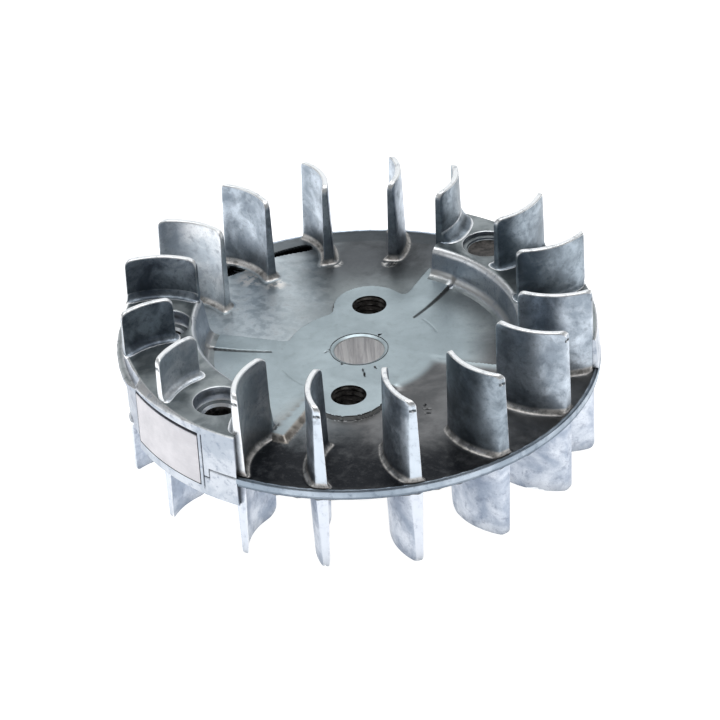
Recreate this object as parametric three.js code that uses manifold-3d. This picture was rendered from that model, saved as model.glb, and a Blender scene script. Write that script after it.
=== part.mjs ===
// Fan flywheel of a small two-stroke engine: a die-cast aluminium disc with sixteen curved fins above it
// and sixteen below, a magnet housing on one side and a counterweight pad opposite.
// Millimetres, +Z up. The origin is on the wheel's axis, at the level of the lower fins' tips.
import * as THREE from "three";
import { mergeVertices } from "three/addons/utils/BufferGeometryUtils.js";
import Module from "manifold-3d";

const wasm = await Module();
wasm.setup();

// ---- driving dimensions ----
const RIM_R = 50;
const RIM_TOP = 19.4; // height of the rim's upper face above the lower fins' tips
const RIM_THICK = 1.9;
const WEB_THICK = 3.2;
const WEB_R = 33; // the web thins to the rim flange here
const WHEEL_SEGMENTS = 120;
const HOLE_SEGMENTS = 36;
const CUT = 1; // how far a cutting tool passes a face
const FIT_GAP = 0.3; // clearance between a piece and the pocket that holds it

const FACE_RISE = 1; // machined face and sectors above the rim's upper face
const FACE_R = 15.4;
const BORE_TOP_R = 5.2;
const BORE_FOOT_R = 4.6;
const BORE_CHAMFER = 0.9;
const HUB_R = 12.5;
const HUB_FOOT_Z = 4;
const TAPPED_R = 3.4;
const TAPPED_CIRCLE_R = 17.2;
const TAPPED_ANGLES = [81, 261];
const TAPPED_BOSS_R = 7.7;
const TAPPED_FOOT_R = 6;
const TAPPED_FOOT_Z = 10;

const SECTOR_AXES = [202.5, 22.5]; // raised sectors from the hub to the magnet and to the counterweight
const SECTOR_HALF_ANGLE = 40;
const PAD_INNER_R = 32.5;
const MAGNET_PAD_RISE = 9.7;
const MAGNET_WALL_DROP = 6.8;
const COUNTERWEIGHT_RISE = 7;
// Pad holes as [distance from the axis, degrees].
const MAGNET_PAD_HOLES = [
  [39.4, 179.2],
  [40.9, 225.8],
];
const COUNTERWEIGHT_HOLES = [
  [39.4, 359.2],
  [40.9, 45.8],
];
const PAD_HOLE_R = 3.1;
const COUNTERBORE_R = 5.1;
const COUNTERBORE_DEEP = 3;
const BLIND_BORE_DEEP = 1.6;

const POLE_ANGLES = [204.5, 228.5];
const POLE_RISE = 7.1;
const POLE_DROP = 4.5;
const POLE_INNER_R = 45;
const MAGNET_ANGLES = [205.5, 217];
const MAGNET_INNER_R = 39;
const MAGNET_RISE = 6;
const MAGNET_DROP = 3.5;
const CAST_WALL_R = 48.6; // unmachined part of the magnet housing's wall, beyond the pole shoe
const CAST_WALL_SPAN = 45;
const LIP_ANGLES = [168, 204.5];
const LIP_RISE = 5.9;
const LIP_THICK = 2;
const LIP_INNER_R = 46;

const GROOVE_ANGLES = [101, 131];
const GROOVE_RADII = [43.6, 45.4];
const GROOVE_DEEP = 1.3;

const FIN_OUTER_R = 48.8;
const FIN_INNER_R = 34;
// Wheel radius of the inner end of each fin that starts further out, by fin number.
const LATE_FIN_RADII = {
  2: 35.5,
  3: 36.2,
  4: 37.3,
  5: 36.7,
  6: 36,
  9: 37.6,
  10: 37.6,
};
// Wheel radius of the outer end of each fin that reaches further out, by fin number.
const FAR_FIN_RADII = {
  1: 49.3,
  2: 49.8,
  3: 49,
  4: 49.5,
  5: 49.2,
};
const FIN_RISE = 18.9;
const FIN_BEND_R = 15; // plan radius of a fin's centre line
const FIN_BEND_X = 38.6; // wheel radius at which the centre line runs straight outwards
// Fins that are bent differently, as [plan radius, wheel radius at which they run straight outwards].
const FIN_BENDS = {
  2: [15, 39.7],
  3: [12, 40.3],
  4: [12, 41.6],
  5: [12, 40.8],
};
const FIN_ROOT_THICK = 2.1;
const FIN_TIP_THICK = 1.2;
const FIN_STEPS = 8;
const FIN_COUNT = 16;
const FIRST_FIN_ANGLE = 9;
// Degrees that a fin stands off the even pitch, by fin number.
const FIN_SHIFTS = {
  1: 0.7,
  2: 0.6,
  3: 4.8,
  4: -0.3,
  5: -1.05,
  6: -1.9,
  7: -1.5,
  8: -4,
  9: -1.7,
  10: -0.9,
  11: 1.2,
  12: -1,
  13: -1.5,
  14: -1.1,
  16: -3.3,
};
const MAGNET_PAD_FINS = [8, 9, 10, 11];
const MAGNET_WALL_FINS = [9, 10];
const COUNTERWEIGHT_FINS = [16, 1, 2, 3];

const RIM_BOTTOM = RIM_TOP - RIM_THICK;
const WEB_BOTTOM = RIM_TOP - WEB_THICK;
const FACE_Z = RIM_TOP + FACE_RISE;
const MAGNET_PAD_TOP = RIM_TOP + MAGNET_PAD_RISE;
const MAGNET_WALL_BOTTOM = RIM_TOP - MAGNET_WALL_DROP;
const COUNTERWEIGHT_TOP = RIM_TOP + COUNTERWEIGHT_RISE;

const CAST_ALUMINIUM = { color: 0x9aa5ae, roughness: 0.42, metalness: 1 };
const MACHINED_ALUMINIUM = { color: 0xb4bcc2, roughness: 0.3, metalness: 1 };
const POLE_STEEL = { color: 0xb9b4b6, roughness: 0.35, metalness: 1 };
const MAGNET_GREY = { color: 0x4a4b4f, roughness: 0.6, metalness: 0.6 };

// ---- helpers ----
const rad = THREE.MathUtils.degToRad;

function polar(radius, degrees) {
  return new THREE.Vector2(radius * Math.cos(rad(degrees)), radius * Math.sin(rad(degrees)));
}

function solidOf(geometry) {
  const bare = geometry.clone();
  bare.deleteAttribute("normal");
  bare.deleteAttribute("uv");
  const merged = mergeVertices(bare, 1e-4);
  return new wasm.Manifold(
    new wasm.Mesh({
      numProp: 3,
      vertProperties: merged.attributes.position.array,
      triVerts: new Uint32Array(merged.index.array),
    }),
  );
}

function geometryOf(solid) {
  const mesh = solid.getMesh();
  const geometry = new THREE.BufferGeometry();
  geometry.setAttribute("position", new THREE.BufferAttribute(mesh.vertProperties, 3));
  geometry.setIndex(new THREE.BufferAttribute(mesh.triVerts, 1));
  geometry.computeVertexNormals();
  return geometry;
}

// An outline in plan, pulled up from one height to another.
function prism(points, bottom, top) {
  const geometry = new THREE.ExtrudeGeometry(new THREE.Shape(points), {
    depth: top - bottom,
    bevelEnabled: false,
  });
  geometry.translate(0, 0, bottom);
  return solidOf(geometry);
}

function arcPoints(radius, fromDeg, toDeg) {
  const steps = Math.max(2, Math.round((Math.abs(toDeg - fromDeg) * WHEEL_SEGMENTS) / 360));
  const points = [];
  for (let step = 0; step <= steps; step += 1) {
    points.push(polar(radius, fromDeg + ((toDeg - fromDeg) * step) / steps));
  }
  return points;
}

function sector(innerR, outerR, fromDeg, toDeg) {
  return [...arcPoints(outerR, fromDeg, toDeg), ...arcPoints(innerR, toDeg, fromDeg)];
}

// A solid turned about an upright line through centre, from [radius, height] points.
function turned(profile, segments = WHEEL_SEGMENTS, centre = polar(0, 0)) {
  const points = profile.map(([radius, height]) => new THREE.Vector2(radius, height));
  const geometry = new THREE.LatheGeometry(points, segments);
  geometry.rotateX(Math.PI / 2);
  geometry.translate(centre.x, centre.y, 0);
  return solidOf(geometry);
}

function peg(radius, bottom, top, centre, segments = HOLE_SEGMENTS) {
  const profile = [
    [0, bottom],
    [radius, bottom],
    [radius, top],
    [0, top],
  ];
  return turned(profile, segments, centre);
}

function namedMesh(name, geometry, finish) {
  const mesh = new THREE.Mesh(geometry, new THREE.MeshStandardMaterial(finish));
  mesh.name = name;
  return mesh;
}

// ---- fin plan ----
function finAngle(number) {
  return FIRST_FIN_ANGLE + ((number - 1) * 360) / FIN_COUNT + (FIN_SHIFTS[number] ?? 0);
}

function finPlan(number) {
  const [bendR, bendX] = FIN_BENDS[number] ?? [FIN_BEND_R, FIN_BEND_X];
  const innerR = LATE_FIN_RADII[number] ?? FIN_INNER_R;
  const outerR = FAR_FIN_RADII[number] ?? FIN_OUTER_R;
  return { bendR, bendX, innerR, outerR };
}

// Points along one side of a fin that points along +X, from one wheel radius to another. The side is
// an arc that lies offset outside the fin's centre line.
function finSide({ bendR, bendX }, offset, fromR, toR) {
  const sideR = bendR + offset;
  const centreR = Math.hypot(bendX, bendR);
  const centreTurn = Math.atan2(bendR, bendX);
  const turnAt = (wheelR) => {
    const cosine = (centreR ** 2 + sideR ** 2 - wheelR ** 2) / (2 * centreR * sideR);
    return centreTurn - Math.PI / 2 + Math.acos(cosine);
  };
  const points = [];
  for (let step = 0; step <= FIN_STEPS; step += 1) {
    const turn = THREE.MathUtils.lerp(turnAt(fromR), turnAt(toR), step / FIN_STEPS);
    const x = bendX + sideR * Math.sin(turn);
    const y = bendR - sideR * Math.cos(turn);
    points.push(new THREE.Vector2(x, y));
  }
  return points;
}

function finOutline(plan, thickness) {
  const outwards = finSide(plan, thickness / 2, plan.innerR, plan.outerR);
  const inwards = finSide(plan, -thickness / 2, plan.innerR, plan.outerR).reverse();
  return [...outwards, ...inwards];
}

function finThickness(rise) {
  return THREE.MathUtils.lerp(FIN_ROOT_THICK, FIN_TIP_THICK, rise / FIN_RISE);
}

// A fin that points along +X, from its root to its thinner tip. Its tip may be above or below its root.
function finGeometry(number, rootRise, rootZ, tipZ) {
  const root = finOutline(finPlan(number), finThickness(rootRise));
  const tip = finOutline(finPlan(number), FIN_TIP_THICK);
  const upwards = tipZ > rootZ;
  const geometry = new THREE.ExtrudeGeometry(new THREE.Shape(root), {
    depth: Math.abs(tipZ - rootZ),
    bevelEnabled: false,
  });
  geometry.translate(0, 0, Math.min(rootZ, tipZ));
  const position = geometry.attributes.position;
  for (let i = 0; i < position.count; i += 1) {
    const isTip = position.getZ(i) > (rootZ + tipZ) / 2 === upwards;
    if (isTip) {
      const here = new THREE.Vector2(position.getX(i), position.getY(i));
      const distances = root.map((point) => point.distanceTo(here));
      const moved = tip[distances.indexOf(Math.min(...distances))];
      position.setXY(i, moved.x, moved.y);
    }
  }
  geometry.computeVertexNormals();
  return geometry;
}

function upperFin(number) {
  let rise = 0;
  if (MAGNET_PAD_FINS.includes(number)) {
    rise = MAGNET_PAD_RISE;
  }
  if (COUNTERWEIGHT_FINS.includes(number)) {
    rise = COUNTERWEIGHT_RISE;
  }
  return finGeometry(number, rise, RIM_TOP + rise, RIM_TOP + FIN_RISE);
}

function lowerFin(number) {
  const rootZ = MAGNET_WALL_FINS.includes(number) ? MAGNET_WALL_BOTTOM : RIM_BOTTOM;
  return finGeometry(number, RIM_BOTTOM - rootZ, rootZ, 0);
}

// A plan that runs from one side of a fin round to a side of another fin. Inside a tightly bent fin it
// runs straight inwards.
function bayOutline(first, firstOffset, last, lastOffset, outerR) {
  const sideOf = (number, offset) => {
    const plan = finPlan(number);
    const isTight = plan.bendR < FIN_BEND_R;
    const points = finSide(plan, offset, isTight ? plan.innerR : PAD_INNER_R, outerR);
    if (isTight) {
      points.unshift(points[0].clone().setLength(PAD_INNER_R));
    }
    return points.map((point) => point.rotateAround(polar(0, 0), rad(finAngle(number))));
  };
  const degreesOf = (point) => THREE.MathUtils.radToDeg(point.angle());
  const arcBetween = (radius, from, to) => {
    const sweep = THREE.MathUtils.euclideanModulo(degreesOf(to) - degreesOf(from), 360);
    return arcPoints(radius, degreesOf(from), degreesOf(from) + sweep).slice(1, -1);
  };
  const start = sideOf(first, firstOffset);
  const end = sideOf(last, lastOffset);
  const outerArc = arcBetween(outerR, start.at(-1), end.at(-1));
  const innerArc = arcBetween(PAD_INNER_R, start[0], end[0]);
  return [...start, ...outerArc, ...end.reverse(), ...innerArc.reverse()];
}

// A pad ends on the outer sides of its first and last fins, so that they stand flush on it.
function padOutline(fins, rise, outerR) {
  const half = finThickness(rise) / 2;
  return bayOutline(fins[0], half, fins.at(-1), -half, outerR);
}

// ---- the casting ----
function tappedHoles() {
  const holes = TAPPED_ANGLES.map((degrees) =>
    peg(TAPPED_R, TAPPED_FOOT_Z - CUT, FACE_Z + CUT, polar(TAPPED_CIRCLE_R, degrees)),
  );
  return holes[0].add(holes[1]);
}

function hub() {
  const profile = [
    [BORE_FOOT_R, HUB_FOOT_Z],
    [HUB_R, HUB_FOOT_Z],
    [HUB_R, FACE_Z],
    [BORE_TOP_R + BORE_CHAMFER, FACE_Z],
    [BORE_TOP_R, FACE_Z - BORE_CHAMFER],
    [BORE_FOOT_R, HUB_FOOT_Z],
  ];
  return geometryOf(turned(profile));
}

function webDisc() {
  const profile = [
    [HUB_R - CUT, WEB_BOTTOM],
    [WEB_R, WEB_BOTTOM],
    [WEB_R, RIM_BOTTOM],
    [RIM_R, RIM_BOTTOM],
    [RIM_R, RIM_TOP],
    [FACE_R, RIM_TOP],
    [FACE_R, FACE_Z],
    [HUB_R - CUT, FACE_Z],
    [HUB_R - CUT, WEB_BOTTOM],
  ];
  let disc = turned(profile);
  for (const degrees of TAPPED_ANGLES) {
    const centre = polar(TAPPED_CIRCLE_R, degrees);
    disc = disc.add(peg(TAPPED_BOSS_R, WEB_BOTTOM + CUT, FACE_Z, centre));
    disc = disc.add(peg(TAPPED_FOOT_R, TAPPED_FOOT_Z, WEB_BOTTOM + CUT, centre));
  }
  for (const axis of SECTOR_AXES) {
    const [from, to] = [axis - SECTOR_HALF_ANGLE, axis + SECTOR_HALF_ANGLE];
    const plan = sector(FACE_R - CUT, PAD_INNER_R + CUT, from, to);
    disc = disc.add(prism(plan, WEB_BOTTOM + CUT, FACE_Z));
  }
  const groove = prism(sector(...GROOVE_RADII, ...GROOVE_ANGLES), RIM_TOP - GROOVE_DEEP, RIM_TOP + CUT);
  const hubSpace = peg(HUB_R, 0, FACE_Z + CUT, polar(0, 0), WHEEL_SEGMENTS);
  disc = disc.subtract(hubSpace).subtract(tappedHoles()).subtract(groove);
  for (const outerR of [RIM_R, RIM_R + CUT]) {
    disc = disc.subtract(magnetHousingSpace(outerR));
  }
  return geometryOf(disc.subtract(counterweightBlock()));
}

// The space of the magnet housing: a pad that carries fins, and below the rim a wall that fits between
// the outer two of those fins.
function magnetHousingSpace(outerR) {
  const [first, , , last] = MAGNET_PAD_FINS;
  const clear = FIN_ROOT_THICK / 2 + FIT_GAP;
  const belowPlan = bayOutline(first, -clear, last, clear, outerR);
  const above = prism(padOutline(MAGNET_PAD_FINS, MAGNET_PAD_RISE, outerR), RIM_TOP, MAGNET_PAD_TOP);
  return above.add(prism(belowPlan, MAGNET_WALL_BOTTOM, RIM_TOP));
}

// A block between two radii and two angles, grown by gap on every side.
function curvedBlock(innerR, outerR, [fromDeg, toDeg], bottom, top, gap) {
  const gapDegrees = THREE.MathUtils.radToDeg(gap / outerR);
  const plan = sector(innerR - gap, outerR + gap, fromDeg - gapDegrees, toDeg + gapDegrees);
  return prism(plan, bottom - gap, top + gap);
}

function poleShoe(gap = 0) {
  const [bottom, top] = [RIM_TOP - POLE_DROP, RIM_TOP + POLE_RISE];
  return curvedBlock(POLE_INNER_R, RIM_R, POLE_ANGLES, bottom, top, gap);
}

function magnet(gap = 0) {
  const [bottom, top] = [RIM_TOP - MAGNET_DROP, RIM_TOP + MAGNET_RISE];
  return curvedBlock(MAGNET_INNER_R, POLE_INNER_R - FIT_GAP, MAGNET_ANGLES, bottom, top, gap);
}

function magnetHousing() {
  const lipTop = RIM_TOP + LIP_RISE;
  const lip = prism(sector(LIP_INNER_R, RIM_R, ...LIP_ANGLES), lipTop - LIP_THICK, lipTop);
  const unmachined = prism(
    sector(CAST_WALL_R, RIM_R + CUT, POLE_ANGLES[0] - CAST_WALL_SPAN, POLE_ANGLES[0]),
    MAGNET_WALL_BOTTOM - CUT,
    MAGNET_PAD_TOP + CUT,
  );
  let housing = magnetHousingSpace(RIM_R).subtract(unmachined).add(lip);
  housing = housing.subtract(poleShoe(FIT_GAP)).subtract(magnet(FIT_GAP));
  for (const place of MAGNET_PAD_HOLES) {
    const centre = polar(...place);
    housing = housing
      .subtract(peg(PAD_HOLE_R, MAGNET_WALL_BOTTOM - CUT, MAGNET_PAD_TOP + CUT, centre))
      .subtract(peg(COUNTERBORE_R, MAGNET_PAD_TOP - COUNTERBORE_DEEP, MAGNET_PAD_TOP + CUT, centre));
  }
  return geometryOf(housing);
}

function counterweightBlock() {
  const plan = padOutline(COUNTERWEIGHT_FINS, COUNTERWEIGHT_RISE, RIM_R);
  return prism(plan, RIM_TOP, COUNTERWEIGHT_TOP);
}

function counterweight() {
  let pad = counterweightBlock();
  const boreFloor = COUNTERWEIGHT_TOP - BLIND_BORE_DEEP;
  for (const place of COUNTERWEIGHT_HOLES) {
    pad = pad.subtract(peg(COUNTERBORE_R, boreFloor, COUNTERWEIGHT_TOP + CUT, polar(...place)));
  }
  return geometryOf(pad);
}

// ---- the wheel ----
const flywheel = new THREE.Group();
flywheel.add(namedMesh("hub", hub(), MACHINED_ALUMINIUM));
flywheel.add(namedMesh("web_disc", webDisc(), CAST_ALUMINIUM));
flywheel.add(namedMesh("magnet_housing", magnetHousing(), CAST_ALUMINIUM));
flywheel.add(namedMesh("counterweight_pad", counterweight(), CAST_ALUMINIUM));
flywheel.add(namedMesh("pole_shoe", geometryOf(poleShoe()), POLE_STEEL));
flywheel.add(namedMesh("magnet", geometryOf(magnet()), MAGNET_GREY));

for (let number = 1; number <= FIN_COUNT; number += 1) {
  const label = String(number).padStart(2, "0");
  const upper = namedMesh(`upper_fin_${label}`, upperFin(number), CAST_ALUMINIUM);
  const lower = namedMesh(`lower_fin_${label}`, lowerFin(number), CAST_ALUMINIUM);
  for (const fin of [upper, lower]) {
    fin.rotation.z = rad(finAngle(number));
    flywheel.add(fin);
  }
}

export default flywheel;
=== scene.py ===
import math

import bmesh
import bpy
import numpy as np
from mathutils import Matrix, Vector, noise
from mathutils.geometry import delaunay_2d_cdt


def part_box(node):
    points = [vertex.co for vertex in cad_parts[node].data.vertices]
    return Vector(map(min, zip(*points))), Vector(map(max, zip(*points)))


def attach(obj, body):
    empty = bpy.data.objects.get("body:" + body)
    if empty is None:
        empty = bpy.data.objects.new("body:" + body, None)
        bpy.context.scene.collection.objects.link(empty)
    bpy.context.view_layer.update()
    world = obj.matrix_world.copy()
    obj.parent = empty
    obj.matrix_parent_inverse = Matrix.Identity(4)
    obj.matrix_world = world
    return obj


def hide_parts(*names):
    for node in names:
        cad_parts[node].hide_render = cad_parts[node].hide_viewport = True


# Looks of a small two-stroke engine's fan flywheel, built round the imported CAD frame.
# Shapes are worked out in millimetres in the frame's own axes, and stored in metres.

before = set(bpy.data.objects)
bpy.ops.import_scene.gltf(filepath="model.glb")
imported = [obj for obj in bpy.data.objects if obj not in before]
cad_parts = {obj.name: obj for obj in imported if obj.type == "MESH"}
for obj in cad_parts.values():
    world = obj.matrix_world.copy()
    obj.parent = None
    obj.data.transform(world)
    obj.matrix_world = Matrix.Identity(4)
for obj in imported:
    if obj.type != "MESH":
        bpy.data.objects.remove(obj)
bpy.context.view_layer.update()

MM = 0.001


# ---- sizes taken from the frame ----
def box_mm(node):
    low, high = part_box(node)
    return low / MM, high / MM


RIM_R = box_mm("web_disc")[1].x
FACE_Z = box_mm("hub")[1].z
HUB_FOOT_Z = box_mm("hub")[0].z
HUB_R = box_mm("hub")[1].x
RIM_TOP = box_mm("upper_fin_06")[0].z
TIP_Z = box_mm("upper_fin_06")[1].z
RIM_BOTTOM = box_mm("lower_fin_06")[1].z
MAGNET_TOP = box_mm("magnet_housing")[1].z
WALL_BOTTOM = box_mm("magnet_housing")[0].z
COUNTER_TOP = box_mm("counterweight_pad")[1].z
SHOE_TOP = box_mm("pole_shoe")[1].z
SHOE_BOTTOM = box_mm("pole_shoe")[0].z

# ---- sizes of the visible detail, in millimetres and degrees ----
WEB_BOTTOM_Z = RIM_TOP - 3.2
WEB_R = 33.0
FACE_R = 15.4
BORE_R = 5.2
BORE_FOOT_R = 4.6
MOUTH_R = BORE_R + 0.9
ARC_R = 17.1
SLOT_R = 44.7
CRACK_WIDTH = 0.13
TAPPED_CIRCLE_R = 17.2
TAPPED_ANGLES = (81, 261)
TAPPED_R = 3.35
TAPPED_BOSS_R = 7.7
TAPPED_FOOT_R = 6.0
TAPPED_FOOT_Z = 10.0
THREAD_PITCH = 1.25
THREAD_DEPTH = 0.5
SECTOR_AXES = (202.5, 22.5)
SECTOR_HALF = 40.0
SECTOR_OUTER_R = 34.5
PAD_HOLES = ((39.4, 179.2), (40.9, 225.8))
BLIND_HOLES = ((39.4, 359.2), (40.9, 45.8))
COUNTERBORE_R = 5.1
PAD_HOLE_R = 3.1
SHOE_ANGLES = (204.5, 228.5)
# A blade's plan radius, and the wheel radius at which it runs straight outwards.
COMMON_BEND = (15.0, 38.6)
BENDS = {2: (15.0, 39.7), 3: (12.0, 40.3), 4: (12.0, 41.6), 5: (12.0, 40.8)}
ROOT_THICK = 2.1
TIP_THICK = 1.2
BLADE_RISE = TIP_Z - RIM_TOP
EDGE_ROUND = 0.3
ROOT_FILLET = 1.4
MAGNET_BLADES = (8, 9, 10, 11)
COUNTER_BLADES = (16, 1, 2, 3)
SHARP_BLADES = (1, 2, 3, 4, 5, 6)


def polar(radius, degrees):
    return radius * math.cos(math.radians(degrees)), radius * math.sin(math.radians(degrees))


def to_polar(x, y):
    return np.hypot(x, y), np.degrees(np.arctan2(y, x))


def smooth(low, high, value):
    share = np.clip((np.asarray(value, float) - low) / (high - low), 0, 1)
    return share * share * (3 - 2 * share)


def hump(value, width):
    """1 where value is 0, and soon 0 beyond width on either side."""
    return np.exp(-((value / width) ** 2))


def in_range(value, low, high, soft):
    return float(smooth(low - soft, low + soft, value) * smooth(high + soft, high - soft, value))


def grain(points, scale, seed=0.0):
    """Soft noise from -1 to 1 at each point, with bumps about scale millimetres across."""
    return np.array([noise.noise(Vector(p) / scale + Vector((seed, -seed, seed))) for p in points])


# ---- mesh helper ----
class Shell:
    """Points in millimetres and faces of one piece, gathered ring by ring."""

    def __init__(self):
        self.points = []
        self.faces = []
        self.dark_faces = set()

    def ring(self, points):
        start = len(self.points)
        self.points.extend(tuple(float(v) for v in p) for p in points)
        return list(range(start, len(self.points)))

    def bridge(self, first, second, closed=True):
        count = len(first)
        for i in range(count if closed else count - 1):
            j = (i + 1) % count
            self.faces.append((first[i], first[j], second[j], second[i]))

    def loft(self, rings):
        """Bridges rings of points in turn, and returns the first and last ring's indices."""
        indices = [self.ring(points) for points in rings]
        for first, second in zip(indices, indices[1:]):
            self.bridge(first, second)
        return indices[0], indices[-1]

    def fill(self, loops, keep, spots=(), height=None):
        """Triangles between loops of existing points, with loose spots inside. keep says which stay."""
        flat = [i for loop in loops for i in loop]
        coords = [Vector(self.points[i][:2]) for i in flat]
        edges, start = [], 0
        for loop in loops:
            count = len(loop)
            edges += [(start + k, start + (k + 1) % count) for k in range(count)]
            start += count
        known = len(coords)
        coords += [Vector(s) for s in spots]
        out, _, tris, origin, _, _ = delaunay_2d_cdt(coords, edges, [], 0, 1e-6, True)
        index = []
        for point, sources in zip(out, origin):
            source = sources[0] if sources else None
            if source is not None and source < known:
                index.append(flat[source])
            else:
                z = height(point.x, point.y) if height else self.points[flat[0]][2]
                index += self.ring([(point.x, point.y, float(z))])
        for tri in tris:
            centre = sum((out[k] for k in tri), Vector((0, 0))) / len(tri)
            if keep(centre.x, centre.y):
                self.faces.append(tuple(index[k] for k in tri))

    def darken_since(self, count):
        """Gives the faces made since there were count of them the piece's second material."""
        self.dark_faces |= set(range(count, len(self.faces)))

    def piece(self, name, materials, nodes=(), sharp=40):
        mesh = bpy.data.meshes.new(name)
        mesh.from_pydata([Vector(p) * MM for p in self.points], [], self.faces)
        for index in self.dark_faces:
            mesh.polygons[index].material_index = 1
        work = bmesh.new()
        work.from_mesh(mesh)
        bmesh.ops.delete(work, geom=[v for v in work.verts if not v.link_faces], context="VERTS")
        bmesh.ops.recalc_face_normals(work, faces=work.faces)
        for edge in work.edges:
            if len(edge.link_faces) == 2 and edge.calc_face_angle(0) > math.radians(sharp):
                edge.smooth = False
        for face in work.faces:
            face.smooth = True
        work.to_mesh(mesh)
        work.free()
        for material in materials:
            mesh.materials.append(material)
        obj = bpy.data.objects.new(name, mesh)
        bpy.context.scene.collection.objects.link(obj)
        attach(obj, "root")
        if nodes:
            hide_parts(*nodes)
        return obj


def inside_loop(shell, loop):
    outline = np.array([shell.points[i][:2] for i in loop])
    (x0, y0), (x1, y1) = outline.T, np.roll(outline, -1, 0).T

    def test(x, y):
        above = (y0 > y) != (y1 > y)
        with np.errstate(divide="ignore", invalid="ignore"):
            cross = x0 + (y - y0) * (x1 - x0) / (y1 - y0)
        return bool(np.count_nonzero(above & (x < cross)) % 2)

    return test


def circle(radius, z, centre=(0, 0), count=48, start=0.0):
    turns = [start + 360 * k / count for k in range(count)]
    return [(centre[0] + polar(radius, t)[0], centre[1] + polar(radius, t)[1], z) for t in turns]


# ---- blades ----
class Place:
    """Where a CAD blade stands: its turn about the wheel's axis, its ends' radii and its bend."""

    def __init__(self, number, node):
        self.bend_r, self.bend_x = BENDS.get(number, COMMON_BEND)
        points = np.array([v.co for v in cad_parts[node].data.vertices]) / MM
        radii = np.hypot(points[:, 0], points[:, 1])
        self.inner_r, self.outer_r = float(radii.min()), float(radii.max())
        end = points[radii > self.outer_r - 0.05].mean(0)
        self.turn = 0.0
        x, y = self.point(self.outer_r, 0)
        self.turn = math.atan2(end[1], end[0]) - math.atan2(y, x)

    def point(self, wheel_r, offset):
        """A point of the blade's plan. offset is from its centre line, positive on the hollow side."""
        side_r = self.bend_r - offset
        centre_r = math.hypot(self.bend_x, self.bend_r)
        cosine = (centre_r**2 + side_r**2 - wheel_r**2) / (2 * centre_r * side_r)
        bend = math.atan2(self.bend_r, self.bend_x) - math.pi / 2 + math.acos(max(-1.0, min(1.0, cosine)))
        x = self.bend_x + side_r * math.sin(bend)
        y = self.bend_r - side_r * math.cos(bend)
        c, s = math.cos(self.turn), math.sin(self.turn)
        return x * c - y * s, x * s + y * c

    def axis_point(self, wheel_r):
        """A point of the centre line, which runs straight inwards inside a tightly bent blade."""
        if self.bend_r < COMMON_BEND[0] and wheel_r < self.inner_r:
            return polar(wheel_r, self.degrees(self.inner_r))
        return self.point(wheel_r, 0)

    def degrees(self, wheel_r):
        x, y = self.axis_point(max(wheel_r, self.inner_r if self.bend_r < COMMON_BEND[0] else 0))
        return math.degrees(math.atan2(y, x)) % 360


def rounding(radius, distance):
    """How far a rounded edge has fallen away, at a distance in from its outline."""
    if distance >= radius:
        return 0.0
    return radius - math.sqrt(max(0.0, radius**2 - (radius - distance) ** 2))


def blade_thickness(rise):
    return ROOT_THICK + (TIP_THICK - ROOT_THICK) * rise / BLADE_RISE


def add_blade(shell, place, root_z, tip_z, root_thick, corners, flares, pit=0.0, skirt=None):
    """One blade from its root to its tip. corners are the inner and outer tip radii. flares are the
    root fillets at the inner end, outer end, hollow side and full side. skirt cuts it off low."""
    inner_r, blade_r = place.inner_r, place.outer_r
    height = abs(tip_z - root_z)
    upwards = 1 if tip_z > root_z else -1
    corner = max(corners)
    fillet = max(flares)
    levels = [fillet * s for s in (0, 0.05, 0.17, 0.36, 0.62, 1)]
    pit_level = height - 2.1
    plain = np.linspace(fillet, height - corner, 8)[1:]
    levels += [h for h in plain if abs(h - pit_level) > 0.7 or not pit]
    if pit:
        levels += [pit_level + d for d in (-0.6, -0.3, 0, 0.3)]
    levels += [height - corner + corner * math.sin(math.radians(a)) for a in (15, 30, 43, 55, 65, 75, 83, 90)]
    levels = sorted(set(levels))
    if skirt:
        levels = [h for h in levels if h <= skirt]

    def section(h):
        flare = [f - math.sqrt(max(0, f * f - (f - h) ** 2)) if h < f else 0 for f in flares]
        full = root_thick + (TIP_THICK - root_thick) * h / height
        rise = height - h
        inner = inner_r + rounding(corners[0], rise) - flare[0]
        outer = blade_r - rounding(corners[1], rise) + flare[1]
        edge = EDGE_ROUND + max(flare)
        steps = [edge * (1 - math.cos(math.radians(a))) for a in (0, 20, 40, 60, 90)]
        steps += [edge + 0.7, edge + 1.6]
        span = np.linspace(inner + steps[-1], outer - steps[-1], 10)[1:-1]
        radii = [inner + s for s in steps] + list(span) + [outer - s for s in reversed(steps)]

        def half(wheel_r, side):
            top, low, high = rise, wheel_r - inner, outer - wheel_r
            gap = min(top, low, high)
            for size, near in ((corners[0], wheel_r - inner_r), (corners[1], blade_r - wheel_r)):
                if rise < size and near < size:
                    gap = size - math.hypot(size - near, size - rise)
            fall = rounding(edge if h < fillet else EDGE_ROUND, max(0.0, gap))
            return full / 2 + flare[2 if side > 0 else 3] - fall

        points = [place.point(r, half(r, 1)) for r in radii]
        ends = half(outer, 1), half(outer, -1)
        dent = pit * math.exp(-(((h - pit_level) / 0.3) ** 2))
        for share in (0.5, 0, -0.5):
            offset = ends[0] * max(share, 0) + ends[1] * min(share, 0)
            points.append(place.point(outer - dent * (1 - abs(share)), offset))
        points += [place.point(r, -half(r, -1)) for r in reversed(radii)]
        z = root_z + upwards * h
        return [(x, y, z) for x, y in points]

    rings = [section(h) for h in levels]
    buried = [(x, y, z - upwards * 0.5) for x, y, z in rings[0]]
    first, last = shell.loft([buried] + rings)
    shell.faces += [tuple(reversed(first)), tuple(last)]


# ---- the web's upper surface ----
def boss_centres():
    return [polar(TAPPED_CIRCLE_R, a) for a in TAPPED_ANGLES]


def angle_from(degrees, middle):
    return (np.asarray(degrees) - middle + 180) % 360 - 180


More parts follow.
